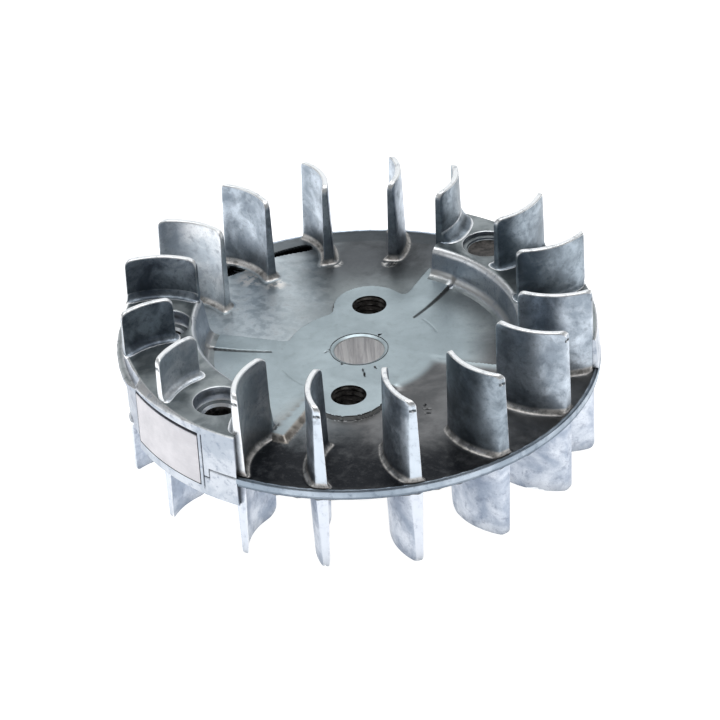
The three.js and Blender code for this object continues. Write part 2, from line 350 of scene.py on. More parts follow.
def sector_gap(r, degrees, axis):
    """Distance outside a raised sector's outline, negative inside."""
    side = (np.abs(angle_from(degrees, axis)) - SECTOR_HALF) * np.radians(1) * r
    return np.maximum(side, r - SECTOR_OUTER_R)


def soft_min(a, b, blend):
    h = np.clip(0.5 + 0.5 * (b - a) / blend, 0, 1)
    return b + (a - b) * h - blend * h * (1 - h)


def plateau_gap(x, y):
    """Distance outside the machined plateau's outline, negative inside."""
    r, degrees = to_polar(x, y)
    gap = r - FACE_R
    for axis in SECTOR_AXES:
        gap = soft_min(gap, sector_gap(r, degrees, axis), 1.2)
    for cx, cy in boss_centres():
        gap = soft_min(gap, np.hypot(x - cx, y - cy) - TAPPED_BOSS_R, 2.4)
    return gap


# Step lines inside the sectors: [radius, degrees] of their ends, the side that is lower, and the depth.
STEP_LINES = (
    ((17.6, 177.0), (31.5, 172.5), 1, 0.45),
    ((15.8, 43.0), (31.5, 49.6), -1, 0.8),
)


def step_gap(x, y, line):
    """Distance to the lower side of a step line, and how deep the step is there."""
    (r0, a0), (r1, a1), side, depth = line
    r, degrees = to_polar(x, y)
    share = (r - r0) / (r1 - r0)
    across = side * angle_from(degrees, a0 + (a1 - a0) * share) * np.radians(1) * r
    reach = np.clip(share, 0, 1) * depth * (np.abs(angle_from(degrees, a0)) < 60)
    return across, reach


# Small cracks and nicks in the web's surface, as the two ends of each.
CRACKS = (
    ((0.5, -7.6), (0.9, -10.6)),
    ((3.0, -7.0), (3.2, -7.7)),
    ((-7.2, -0.6), (-6.0, 0.6)),
    ((12.3, -22.1), (13.7, -22.4)),
    ((12.4, -23.9), (13.5, -23.7)),
    ((12.5, -21.1), (12.8, -20.5)),
    ((-27.6, -15.3), (-26.6, -14.9)),
)


def segment_gap(x, y, first, second):
    """Distance from each point to a short line."""
    (ax, ay), (bx, by) = first, second
    along = ((x - ax) * (bx - ax) + (y - ay) * (by - ay)) / ((bx - ax) ** 2 + (by - ay) ** 2)
    share = np.clip(along, 0, 1)
    return np.hypot(x - ax - share * (bx - ax), y - ay - share * (by - ay))


def web_height(x, y):
    """Height of the web's upper surface, in millimetres."""
    x, y = np.asarray(x, float), np.asarray(y, float)
    r, degrees = to_polar(x, y)
    gap = plateau_gap(x, y)
    soft_side = hump(angle_from(degrees, 241), 9) * smooth(19, 24, r)
    faint_side = smooth(-68, -58, angle_from(degrees, 0)) * smooth(-8, -16, angle_from(degrees, 0))
    width = 0.3 + 1.9 * soft_side + 5.7 * faint_side
    rise = FACE_Z - RIM_TOP
    z = RIM_TOP + rise * (1 - smooth(-0.35, 0.65, gap / width))
    for line in STEP_LINES:
        across, reach = step_gap(x, y, line)
        lowered = reach * smooth(-0.18, 0.22, across) + 0.15 * (reach > 0.02) * hump(across, 0.2)
        z = z - lowered * (1 - smooth(-0.35, 0.65, gap / width))
    z = z - 0.09 * hump(r - ARC_R, 0.22) * arc_shown(degrees)
    slot_half = np.interp(degrees, (101, 104, 117, 121, 124, 131), (0.9, 1.2, 0.5, 1.1, 1.8, 1.2))
    slot = smooth(0.12, -0.12, np.abs(r - SLOT_R) - slot_half)
    slot = slot * smooth(101.3, 102.5, degrees) * smooth(131, 130, degrees)
    z = z - 1.6 * slot
    z = z + 0.16 * hump(r - 49.25, 0.22) * (0.7 + 0.5 * np.sin(degrees * 0.9) * np.sin(degrees * 2.3))
    z = z - 0.16 * hump(r - 49.62, 0.12)
    for crack in CRACKS:
        z = z - 0.3 * hump(segment_gap(x, y, *crack), CRACK_WIDTH)
    return z


def web_grooves(points):
    """How far each point of the web lies in a dark step line, crack or faint turned arc, from 0 to 1."""
    x, y, z = points.T
    r, degrees = to_polar(x, y)
    share = np.zeros(len(x))
    on_plateau = plateau_gap(x, y) < 0.3
    for line in STEP_LINES:
        across, reach = step_gap(x, y, line)
        share = np.maximum(share, on_plateau * (reach > 0.02) * hump(across - 0.06, 0.3))
    for crack in CRACKS:
        share = np.maximum(share, hump(segment_gap(x, y, *crack), CRACK_WIDTH))
    share = np.maximum(share, 0.25 * hump(r - ARC_R, 0.25) * on_plateau * arc_shown(degrees))
    return share * (z > RIM_TOP - 0.6)


def web_scuffs(points):
    """How far each point lies on the rough, worn edge of the front sector, from 0 to 1."""
    x, y, z = points.T
    r, degrees = to_polar(x, y)
    side = hump(angle_from(degrees, 242), 7) * smooth(18, 23, r) * smooth(37, 35, r)
    return side * smooth(FACE_Z - 0.01, FACE_Z - 0.12, z) * smooth(RIM_TOP + 0.02, RIM_TOP + 0.15, z)


def arc_shown(degrees):
    """Where the faint turned arc on the sectors can be seen."""
    return (np.abs(angle_from(degrees, 214)) < 13) | (np.abs(angle_from(degrees, 27)) < 10)


def web_spacing(x, y):
    """How closely the web's upper surface needs points, in millimetres."""
    r, degrees = to_polar(x, y)
    near = np.abs(plateau_gap(x, y))
    for line in STEP_LINES:
        across, reach = step_gap(x, y, line)
        near = np.minimum(near, np.where(reach > 0.02, np.abs(across), 99) + 99 * (plateau_gap(x, y) > 0.5))
    near = np.minimum(near, np.abs(r - ARC_R) + 0.1)
    for crack in CRACKS:
        near = np.minimum(near, segment_gap(x, y, *crack))
    in_slot = (degrees > 99) & (degrees < 133)
    near = np.minimum(near, np.where(in_slot, np.maximum(np.abs(r - SLOT_R) - 1.5, 0), 99))
    return 0.2 + 0.45 * np.maximum(near - 0.35, 0)


def web_spots(housing_ends):
    """Loose points of the web's upper surface: a lattice that is finer near the steps."""
    spots = []
    for step in (0.25, 0.5, 1.0, 2.0):
        line = np.arange(-50, 50 + step / 2, step) + step * 0.013
        x, y = (g.ravel() for g in np.meshgrid(line, line))
        r = np.hypot(x, y)
        size = web_spacing(x, y)
        wanted = (r > MOUTH_R + 0.5) & (r < 48.7) & (size < 2 * step)
        if step > 0.25:
            wanted &= size >= step
        if step == 2.0:
            wanted |= (r > MOUTH_R + 0.5) & (r < 48.4) & (size >= 2 * step)
        for cx, cy in boss_centres():
            wanted &= np.hypot(x - cx, y - cy) > TAPPED_R + 0.6
        degrees = np.degrees(np.arctan2(y, x)) % 360
        wanted &= (r < 46.8) | (degrees < housing_ends[0] - 1) | (degrees > housing_ends[1] + 1)
        spots += list(zip(x[wanted], y[wanted]))
    for centre in boss_centres():
        spots += [(x, y) for x, y, _ in circle(TAPPED_R + 0.45, 0, centre)]
    return spots


def under_height(x, y):
    """Height of the web's lower surface."""
    r = np.hypot(x, y)
    z = WEB_BOTTOM_Z + (RIM_BOTTOM - WEB_BOTTOM_Z) * smooth(WEB_R - 1, WEB_R + 1, r)
    for cx, cy in boss_centres():
        gap = np.hypot(x - cx, y - cy) - TAPPED_FOOT_R
        z = np.minimum(z, TAPPED_FOOT_Z + (WEB_BOTTOM_Z - TAPPED_FOOT_Z) * smooth(-0.4, 0.6, gap))
    return z


def tapped_wall(shell, centre):
    """A tapped hole's wall, from its lower mouth to its upper one, with a real helical thread."""
    low, high = TAPPED_FOOT_Z, FACE_Z
    count = 48
    turns = np.arange(low + 0.5, high - 0.55, THREAD_PITCH / 8)
    levels = [low, low + 0.35, *turns, high - 0.4, high]
    rings = []
    for z in levels:
        ring = []
        for k in range(count):
            phase = (z / THREAD_PITCH - k / count) % 1
            crest = abs(2 * phase - 1)
            inside = min(z - low, high - z) > 0.45
            radius = TAPPED_R - 0.05 + THREAD_DEPTH * crest if inside else TAPPED_R + 0.3
            x, y = polar(radius, 360 * k / count)
            ring.append((centre[0] + x, centre[1] + y, z))
        rings.append(ring)
    return shell.loft(rings)


def build_disc(materials, housing_ends):
    shell = Shell()
    count = 360
    top_r = RIM_R - 0.12
    outline = [polar(top_r, 360 * k / count) for k in range(count)]
    outer_top = [(x, y, float(web_height(x, y))) for x, y in outline]
    side = [(RIM_R - 0.03, -0.07), (RIM_R, -0.2), (RIM_R, -0.55), (RIM_R, -0.9), (RIM_R, -1.22)]
    side += [(RIM_R - 0.14, -1.34), (RIM_R - 0.16, -1.6), (RIM_R - 0.1, -1.76), (RIM_R - 0.2, -1.86)]
    rings = [outer_top]
    rings += [circle(r, RIM_TOP + z, count=count) for r, z in side]
    rings += [circle(RIM_R - 0.45, RIM_BOTTOM, count=count)]
    first, last = housing_ends

    def tucked(point):
        x, y, z = point
        degrees = math.degrees(math.atan2(y, x)) % 360
        share = 1 - 0.035 * in_range(degrees, first + 0.9, last - 0.9, 0.5)
        return x * share, y * share, z

    rings = [[tucked(p) for p in ring] for ring in rings]
    top_loop, under_loop = shell.loft(rings)

    inner = [circle(r, 0, count=count) for r in (49.6, 49.4, 49.2, 49.0)]
    lip = [[(*tucked(p)[:2], float(web_height(p[0], p[1]))) for p in ring] for ring in inner]
    lip_first, lip_last = shell.loft(lip)
    shell.bridge(top_loop, lip_first)

    bore_count = 96
    bore = [(MOUTH_R + 0.25, 0), (MOUTH_R + 0.06, 0), (MOUTH_R, -0.16), (MOUTH_R - 0.12, -0.16)]
    bore += [(MOUTH_R - 0.2, -0.03), (BORE_R + 0.2, -0.2), (BORE_R + 0.05, -0.3), (BORE_R, -0.5)]
    walls = np.linspace(FACE_Z - 0.5, HUB_FOOT_Z + 0.6, 24)[1:]
    started = len(shell.faces)
    rings = [circle(r, FACE_Z + z, count=bore_count) for r, z in bore]
    for z in walls:
        taper = BORE_FOOT_R + (BORE_R - BORE_FOOT_R) * (z - HUB_FOOT_Z) / (FACE_Z - HUB_FOOT_Z)
        ring = circle(taper, z, count=bore_count)
        wear = 0.05 * grain([(x * 3, y * 3, z * 0.35) for x, y, z in ring], 2.2, 4.0)
        rings.append([(x * (1 + w / taper), y * (1 + w / taper), z) for (x, y, z), w in zip(ring, wear)])
    hub = [(BORE_FOOT_R + 0.5, HUB_FOOT_Z), (HUB_R - 0.6, HUB_FOOT_Z), (HUB_R, HUB_FOOT_Z + 0.6)]
    hub += [(HUB_R, 7), (HUB_R, 9.2)]
    rings += [circle(r, z, count=bore_count) for r, z in hub]
    hub_top = circle(HUB_R, 0, count=bore_count)
    rings.append([(x, y, min(float(under_height(x, y)) - 1.2, 14.6)) for x, y, _ in hub_top])
    web_foot = circle(HUB_R + 1.2, 0, count=bore_count)
    rings.append([(x, y, float(under_height(x, y))) for x, y, _ in web_foot])
    bore_loop, hub_loop = shell.loft(rings)
    bore_start = started + (len(bore) - 1) * bore_count

    started = len(shell.faces)
    tapped = [tapped_wall(shell, centre) for centre in boss_centres()]
    # The tapped holes' walls take the second material: painted shade.
    shell.darken_since(started)
    holes = boss_centres()

    def on_web(rim_loop, inner_r):
        """A test for places between the web's rim and its middle, outside the tapped holes."""
        in_rim = inside_loop(shell, rim_loop)

        def test(x, y):
            clear = all(math.hypot(x - cx, y - cy) > TAPPED_R + 0.29 for cx, cy in holes)
            return inner_r < math.hypot(x, y) + 0.01 and clear and in_rim(x, y)

        return test

    loops = [lip_last, bore_loop] + [t[1] for t in tapped]
    shell.fill(loops, on_web(lip_last, MOUTH_R + 0.25), web_spots(housing_ends), web_height)

    line = np.arange(-49, 49.1, 1.4)
    x, y = (g.ravel() for g in np.meshgrid(line, line))
    r = np.hypot(x, y)
    degrees = np.degrees(np.arctan2(y, x)) % 360
    wanted = (r > HUB_R + 1.6) & (r < 48.6)
    wanted &= (r < 46.8) | (degrees < first - 1) | (degrees > last + 1)
    for cx, cy in holes:
        wanted &= np.hypot(x - cx, y - cy) > TAPPED_R + 0.6
    spots = list(zip(x[wanted], y[wanted]))
    for cx, cy in holes:
        for radius in (TAPPED_FOOT_R - 0.4, TAPPED_FOOT_R + 0.1, TAPPED_FOOT_R + 0.6):
            around = circle(radius, 0, (cx, cy), 40)
            spots += [(px, py) for px, py, _ in around if math.hypot(px, py) > HUB_R + 1.5]
    loops = [under_loop, hub_loop] + [t[0] for t in tapped]
    shell.fill(loops, on_web(under_loop, HUB_R + 1.19), spots, under_height)
    disc = shell.piece("wheel_disc", materials, ["web_disc", "hub"], sharp=32)
    for index in range(bore_start, bore_start + len(walls) * bore_count):
        disc.data.polygons[index].material_index = 2
    points = np.array([v.co for v in disc.data.vertices]) / MM
    # The groove share places painted shade; the scuff share marks the worn sector edge.
    for name, share_at in (("groove_shade", web_grooves), ("scuff", web_scuffs)):
        layer = disc.data.attributes.new(name, "FLOAT", "POINT")
        layer.data.foreach_set("value", share_at(points).astype(np.float32))
    return disc


# ---- pads ----
def pad_levels(low, high, extra=()):
    levels = [low, low + 0.3]
    levels += list(np.arange(low + 1.0, RIM_TOP, 1.0))
    levels += list(np.arange(RIM_TOP, RIM_TOP + 2.6, 0.2))
    levels += list(np.arange(RIM_TOP + 3.2, high - 1.6, 0.8))
    levels += [high - 1.5 * (1 - math.sin(math.radians(a))) for a in (0, 15, 30, 45, 60, 75, 90)]
    levels += list(extra)
    return sorted(set(round(z, 3) for z in levels if low <= z <= high))


def add_pad(shell, first, last, levels, inner_r, outer_r, holes, dark_from, extra_turns=()):
    """A pad between two blades' centre lines, with its holes. inner_r and outer_r give a radius at
    (degrees, z). holes are (centre, [(radius, z), ...]) from the top down to a floor or the bottom, and
    their walls take the second material, painted shade, from the band dark_from downwards, as does a floor."""
    start_in, end_in = first.degrees(34), last.degrees(34)
    start_out, end_out = first.degrees(48.5), last.degrees(48.5)
    end_in += 360 if end_in < start_in else 0
    end_out += 360 if end_out < start_out else 0
    inner_turns = np.linspace(start_in, end_in, 90)
    outer_turns = sorted(set(np.linspace(start_out, end_out, 90)) | set(extra_turns))
    shares = np.linspace(0, 1, 8)[1:-1]

    def ring(z):
        def side(place, begin, finish):
            return [(*place.axis_point(begin + (finish - begin) * s), z) for s in shares]

        points = [(*polar(inner_r(t, z), t), z) for t in inner_turns]
        points += side(last, inner_r(end_in, z), outer_r(end_out, z))
        points += [(*polar(outer_r(t, z), t), z) for t in reversed(outer_turns)]
        return points + side(first, outer_r(start_out, z), inner_r(start_in, z))

    bottom, top = shell.loft([ring(z) for z in levels])
    over, under = ([top], []), ([bottom], [])
    for centre, profile in holes:
        started = len(shell.faces)
        mouth, floor = shell.loft([circle(r, z, centre, 48) for r, z in profile])
        shell.darken_since(started + dark_from * 48)
        ends = [(over, mouth, profile[0])]
        if abs(profile[-1][1] - levels[0]) < 1e-6:
            ends.append((under, floor, profile[-1]))
        else:
            shell.faces.append(tuple(floor))
            shell.darken_since(len(shell.faces) - 1)
        for (loops, gaps), loop, (radius, _) in ends:
            loops.append(loop)
            gaps.append((centre, radius))
    for loops, gaps in (over, under):
        inside = inside_loop(shell, loops[0])

        def keep(x, y, inside=inside, gaps=gaps):
            return inside(x, y) and all(math.hypot(x - c[0], y - c[1]) > r * 0.997 for c, r in gaps)

        shell.fill(loops, keep)


def pad_inner(foot_r, top_r, top_z, fillet, top_round, surface):
    """The radius of a pad's inner wall at (degrees, z): a fillet at its foot, draft, a rounded top edge."""

    def radius(degrees, z):
        ground = surface(degrees)
        if z <= ground:
            return foot_r - fillet
        if z < ground + fillet:
            return foot_r - fillet + math.sqrt(max(0.0, fillet**2 - (ground + fillet - z) ** 2))
        wall = (z - ground - fillet) / (top_z - ground - fillet)
        radius_here = foot_r + (top_r - foot_r) * min(1.0, wall)
        return radius_here + rounding(top_round, top_z - z)

    return radius


def ground_at(radius):
    return lambda degrees: float(web_height(*polar(radius, degrees))) + 0.01


def build_counterweight(materials, places):
    shell = Shell()
    first, last = places[COUNTER_BLADES[0]], places[COUNTER_BLADES[-1]]
    top = COUNTER_TOP
    inner = pad_inner(32.5, 33.2, top, 2.3, 1.4, ground_at(30.2))

    def outer(degrees, z):
        draft = 0.5 * smooth(RIM_TOP, top, z)
        return RIM_R - 0.06 - draft - rounding(0.6, top - z)

    holes = []
    for place in BLIND_HOLES:
        profile = [(COUNTERBORE_R + 0.35, 0), (COUNTERBORE_R + 0.05, -0.15), (COUNTERBORE_R, -0.35)]
        profile += [(COUNTERBORE_R - 0.02, -1.0), (4.5, -1.1), (4.3, -1.15), (4.2, -1.55), (4.05, -1.6)]
        holes.append((polar(*place), [(r, top + z) for r, z in profile]))
    levels = pad_levels(RIM_TOP - 0.6, top)
    add_pad(shell, first, last, levels, inner, outer, holes, 7)
    return shell.piece("counterweight", materials, ["counterweight_pad"])


def chamfer_at(degrees):
    """Width of the magnet housing's upper outer chamfer, which widens towards its cast end."""
    return 0.2 + 1.5 * float(np.clip((228 - degrees) / 28, 0, 1))


def housing_outer(degrees, z):
    turned = float(smooth(203.6, 204.4, degrees))
    rough = 0.12 * noise.noise(Vector((degrees * 0.9, z * 0.9, 3)))
    radius = RIM_R - 0.02 - (1.4 + rough) * (1 - turned)
    lip = in_range(z - RIM_TOP, 4.6, 5.9, 0.25) * in_range(degrees, 168, 200, 4)
    radius += 1.3 * lip * (1 - turned)
    cut = chamfer_at(degrees)
    over = z - (MAGNET_TOP - cut)
    if over > 0:
        radius = min(radius, RIM_R - over - 0.1)
        radius -= rounding(0.25, MAGNET_TOP - z)
    pocket = in_range(degrees, SHOE_ANGLES[0] + 0.1, SHOE_ANGLES[1] + 0.25, 0.12)
    pocket *= in_range(z, SHOE_BOTTOM + 0.05, SHOE_TOP + 0.7, 0.1)
    radius -= 0.9 * pocket
    strip = in_range(degrees, 229.6, 229.9, 0.12) * in_range(z, SHOE_BOTTOM - 0.3, SHOE_TOP + 0.7, 0.1)
    radius -= 0.3 * strip
    parting = in_range(z - RIM_TOP, -0.12, 0.12, 0.1) * in_range(degrees, 231.5, 239, 0.6)
    radius -= 0.22 * parting
    drop = in_range(z - RIM_TOP, -2.1, 0.1, 0.12) * in_range(degrees, 231.35, 231.6, 0.12)
    hook = in_range(z - RIM_TOP, -2.2, -1.95, 0.1) * in_range(degrees, 229.7, 231.6, 0.15)
    radius -= 0.28 * max(drop, hook)
    radius -= rounding(0.5, z - WALL_BOTTOM)
    return radius


def build_housing(materials, places):
    shell = Shell()
    first, last = places[MAGNET_BLADES[0]], places[MAGNET_BLADES[-1]]
    top = MAGNET_TOP
    inner = pad_inner(32.4, 33.5, top, 2.2, 1.2, ground_at(30.2))
    holes = []
    for place in PAD_HOLES:
        floor = top - 3.0
        wide = [(0.3, top), (0.05, top - 0.12), (0, top - 0.4), (0, top - 1.5), (-0.05, floor + 0.25)]
        narrow = [(0.55, floor), (0.5, floor - 0.05), (0.1, floor - 0.55), (0, floor - 0.7), (0, 18)]
        profile = [(COUNTERBORE_R + more, z) for more, z in wide + [(-0.3, floor)]]
        profile += [(PAD_HOLE_R + more, z) for more, z in narrow + [(0, WALL_BOTTOM)]]
        holes.append((polar(*place), profile))
    edges = [SHOE_TOP + 0.7, SHOE_BOTTOM + 0.05, RIM_TOP, RIM_TOP - 2.1, RIM_TOP + 4.6, RIM_TOP + 5.9]
    extra = [z + d for z in edges for d in (-0.25, -0.1, 0, 0.1, 0.25)]
    turns = [204.0, SHOE_ANGLES[0] + 0.1, SHOE_ANGLES[1] + 0.25, 229.6, 229.9, 231.35, 231.6]
    extra_turns = [t + d for t in turns for d in (-0.35, -0.12, 0, 0.12, 0.35)]
    levels = pad_levels(WALL_BOTTOM, top, extra)
    add_pad(shell, first, last, levels, inner, housing_outer, holes, 8, extra_turns)
    return shell.piece("magnet_housing_casting", materials, ["magnet_housing"], sharp=45)


def build_shoe(material):
    """The pole shoe: a curved steel block with slightly rounded edges, flush with the wall."""
    shell = Shell()
    low, high = SHOE_BOTTOM, SHOE_TOP
    heights = [(0, 0.25), (0.05, 0.1), (0.2, 0.02), (0.35, 0)]
    levels = [(low + h, d) for h, d in heights]
    levels += [(z, 0) for z in np.linspace(low + 1, high - 1, 12)]
    levels += [(high - h, d) for h, d in reversed(heights)]
    turns = np.linspace(SHOE_ANGLES[0], SHOE_ANGLES[1], 60)

    def ring(z, inset):
        outer = []
        for k, t in enumerate(turns):
            end = min(k, len(turns) - 1 - k)
            dip = 0.1 if end == 0 else 0
            outer.append((*polar(RIM_R - inset - dip, t), z))
        inner = [(*polar(RIM_R - 3.5, t), z) for t in reversed(turns)]
        return outer + inner

    bottom, top = shell.loft([ring(z, d) for z, d in levels])
    shell.faces += [tuple(reversed(bottom)), tuple(top)]
    return shell.piece("pole_shoe_face", [material], ["pole_shoe"])


# ---- blades as pieces ----
# Root fillets where a pad's end blade stands on the pad, on the pad's side only. In the order of
# the magnet pad's first and last blade, and the counterweight pad's.
END_FLARES = ((0.3, 0.05, 1.6, 0.0), (0.3, 0.05, 0.0, 0.9), (0.3, 0.05, 1.6, 0.0), (0.3, 0.05, 0.0, 2.6))


def build_blades(tones, lower_material, places):
    for number, place in places.items():
        ends = (MAGNET_BLADES[0], MAGNET_BLADES[-1], COUNTER_BLADES[0], COUNTER_BLADES[-1])
        pad_top = RIM_TOP
        if number in MAGNET_BLADES:
            pad_top = MAGNET_TOP
        if number in COUNTER_BLADES:
            pad_top = COUNTER_TOP
        shell = Shell()
        corners = (1.7, 0.5 if number in SHARP_BLADES else 1.2)
        fillets = (1.2, 0.3, ROOT_FILLET, ROOT_FILLET)
        if number in ends:
            add_blade(shell, place, RIM_TOP, TIP_Z, ROOT_THICK, corners, fillets, 0.35)
            inward = END_FLARES[ends.index(number)]
            thick = blade_thickness(pad_top - RIM_TOP)
            add_blade(shell, place, pad_top, TIP_Z, thick - 0.02, corners, inward, skirt=max(inward))
        else:
            low = fillets if pad_top == RIM_TOP else (0.9, 0.1, 1.6, 0.9)
            thick = blade_thickness(pad_top - RIM_TOP)
            add_blade(shell, place, pad_top, TIP_Z, thick, corners, low, 0.35)
        upper = f"upper_blade_{number:02d}"
        shell.piece(upper, [tones[number]], [f"upper_fin_{number:02d}"])

        shell = Shell()
        node = f"lower_fin_{number:02d}"
        root_z = box_mm(node)[1].z
        root_z = max(root_z, RIM_BOTTOM) if root_z > RIM_BOTTOM - 1 else root_z
        lower = Place(number, node)
        thick = blade_thickness(RIM_BOTTOM - root_z)
        add_blade(shell, lower, root_z, 0.0, thick, (2.6, 1.0), (1.0, 0.3, 1.0, 1.0))
        shell.piece(f"lower_blade_{number:02d}", [lower_material], [node])


# ---- materials ----
def new_material(name):
    material = bpy.data.materials.new(name)
    material.use_nodes = True
    tree = material.node_tree
    tree.nodes.clear()
    output = tree.nodes.new("ShaderNodeOutputMaterial")
    shader = tree.nodes.new("ShaderNodeBsdfPrincipled")
    tree.links.new(shader.outputs["BSDF"], output.inputs["Surface"])
    return material, tree, shader


def new_metal(name):
    """A new material, its node tree, its shader and its object coordinates."""
    material, tree, shader = new_material(name)
    return material, tree, shader, tree.nodes.new("ShaderNodeTexCoord").outputs["Object"]


def add_node(tree, kind, settings, inputs):
    """A new node. inputs are fixed values or other nodes' outputs, by socket."""
    made = tree.nodes.new("ShaderNode" + kind)
    for key, value in settings.items():
        setattr(made, key, value)
    for key, value in inputs.items():
        if isinstance(value, bpy.types.NodeSocket):
            tree.links.new(value, made.inputs[key])
        else:
            made.inputs[key].default_value = value
    return made


def noise_node(tree, coords, scale, detail=4.0, roughness=0.6, distortion=0.0):
    inputs = {"Vector": coords, "Scale": scale, "Detail": detail}
    inputs.update({"Roughness": roughness, "Distortion": distortion})
    return add_node(tree, "TexNoise", {}, inputs).outputs["Fac"]


def clouded(tree, coords, cloud, blotch, fine):
    """Noises for wide clouds, blotches and fine grain, each from its noise_node settings."""
    return [noise_node(tree, coords, *settings) for settings in (cloud, blotch, fine)]


def ramp(tree, value, low, high, start=0.0, end=1.0):
    inputs = {"Value": value, "From Min": low, "From Max": high, "To Min": start, "To Max": end}
    return add_node(tree, "MapRange", {"interpolation_type": "SMOOTHSTEP"}, inputs).outputs["Result"]


def level_ramp(tree, z, base, low, high, start=0.0, end=1.0):
    """A ramp over heights in millimetres above a base height."""
    return ramp(tree, z, (base + low) * MM, (base + high) * MM, start, end)


def math_node(tree, operation, *values):
    return add_node(tree, "Math", {"operation": operation}, dict(enumerate(values))).outputs[0]


def plus(tree, first, second):
    return math_node(tree, "ADD", first, second)


def times(tree, *shares):
    """The product of two or more shares."""
    product = shares[0]
    for share in shares[1:]:
        product = math_node(tree, "MULTIPLY", product, share)
    return product


def mix_colour(tree, share, first, second):
    made = tree.nodes.new("ShaderNodeMix")
    made.data_type = "RGBA"
    tree.links.new(share, made.inputs["Factor"])
    for name, value in (("A", first), ("B", second)):
        socket = [s for s in made.inputs if s.name == name and s.type == "RGBA"][0]
        if isinstance(value, tuple):
            socket.default_value = (*value, 1)
        else:
            tree.links.new(value, socket)
    return [s for s in made.outputs if s.type == "RGBA"][0]


def toned(tree, source, low, high, first, second, most=1.0):
    """The first colour where source is at low, changing to the second, at most so far, at high."""
    return mix_colour(tree, ramp(tree, source, low, high, 0.0, most), first, second)


def finish_surface(tree, shader, colour, roughness, metallic, *layers):
    """Links a shader's colour and roughness, and chains bumps of (height, depth in metres)."""
    tree.links.new(colour, shader.inputs["Base Color"])
    tree.links.new(roughness, shader.inputs["Roughness"])
    shader.inputs["Metallic"].default_value = metallic
    normal = None
    for height, depth in layers:
        inputs = {"Strength": 1.0, "Distance": depth, "Height": height}
        if normal is not None:
            inputs["Normal"] = normal
        normal = add_node(tree, "Bump", {}, inputs).outputs["Normal"]
    tree.links.new(normal, shader.inputs["Normal"])


def corner_shade(tree, coords, colour, reach, amount, dark):
    """Darkens a colour by ambient occlusion, painted shade in corners and crevices, broken up by noise."""
    shade = add_node(tree, "AmbientOcclusion", {"samples": 8}, {"Distance": reach})
    patches = noise_node(tree, coords, 500, 5, 0.65)
    open_share = plus(tree, shade.outputs["AO"], times(tree, patches, 0.35))
    return mix_colour(tree, ramp(tree, open_share, 1.05, 0.45, 0, amount), colour, dark)


def edge_highlights(tree, coords, colour, bright):
    """Lightens a colour on outward edges, a painted highlight, broken up by noise."""
    pointed = tree.nodes.new("ShaderNodeNewGeometry").outputs["Pointiness"]
    patches = noise_node(tree, coords, 900, 3, 0.6)
    edge = plus(tree, pointed, times(tree, patches, 0.03))
    return toned(tree, edge, 0.535, 0.575, colour, bright, 0.9)


def axes(tree, vector):
    return add_node(tree, "SeparateXYZ", {}, {0: vector}).outputs


def surface_normal(tree):
    return tree.nodes.new("ShaderNodeNewGeometry").outputs["Normal"]


def upward_share(tree):
    """The upward part of the surface's normal: 1 on a level face, 0 on a wall."""
    return axes(tree, surface_normal(tree))[2]


def wheel_radius(tree, x, y):
    return math_node(tree, "SQRT", plus(tree, times(tree, x, x), times(tree, y, y)), 0)


def outward_share(tree, coords, low, high):
    """How far a surface faces straight away from the wheel's axis."""
    flat = add_node(tree, "VectorMath", {"operation": "MULTIPLY"}, {0: coords, 1: (1, 1, 0)})
    unit = add_node(tree, "VectorMath", {"operation": "NORMALIZE"}, {0: flat.outputs[0]})
    inputs = {0: surface_normal(tree), 1: unit.outputs[0]}
    facing = add_node(tree, "VectorMath", {"operation": "DOT_PRODUCT"}, inputs)
    return ramp(tree, facing.outputs["Value"], low, high)


def wandering(tree, cloud):
    """A soft wobble, in metres, that makes a boundary between two tones ragged."""
    return times(tree, math_node(tree, "SUBTRACT", cloud, 0.5), 0.03)


def floor_colour(tree, coords):
    """The cast floor of the web: light at the left, dull at the back, brown and then black towards
    the front, where the black is painted shade."""
    x, y, _ = axes(tree, coords)
    cloud = noise_node(tree, coords, 85, 6, 0.62, 0.3)
    blotch = noise_node(tree, coords, 480, 6, 0.66, 0.2)
    wander = wandering(tree, cloud)
    left = ramp(tree, plus(tree, x, wander), 0.002, -0.022)
    light = toned(tree, blotch, 0.36, 0.68, (0.50, 0.57, 0.61), (0.72, 0.79, 0.83))
    far = toned(tree, cloud, 0.38, 0.64, (0.055, 0.06, 0.065), (0.115, 0.125, 0.135))
    near = toned(tree, cloud, 0.38, 0.64, (0.24, 0.27, 0.28), (0.36, 0.40, 0.41))
    back = toned(tree, y, 0.020, 0.037, near, far)
    brown = toned(tree, cloud, 0.34, 0.66, (0.11, 0.113, 0.117), (0.225, 0.228, 0.232))
    floor = toned(tree, y, -0.004, 0.010, brown, back)
    floor = mix_colour(tree, left, floor, light)
    floor = toned(tree, blotch, 0.52, 0.72, floor, (0.15, 0.155, 0.165), 0.3)
    radius = wheel_radius(tree, x, y)
    verge = times(tree, ramp(tree, radius, 0.0445, 0.0455, 0, 0.75), ramp(tree, y, 0.0, 0.02))
    floor = mix_colour(tree, verge, floor, (0.07, 0.082, 0.092))
    # Painted shade: near black towards the front, among the front blades.
    slant = plus(tree, y, times(tree, x, 0.34))
    darkening = ramp(tree, plus(tree, slant, wander), -0.021, -0.040)
    black = toned(tree, blotch, 0.46, 0.72, (0.011, 0.013, 0.017), (0.055, 0.058, 0.063))
    return mix_colour(tree, darkening, floor, black)


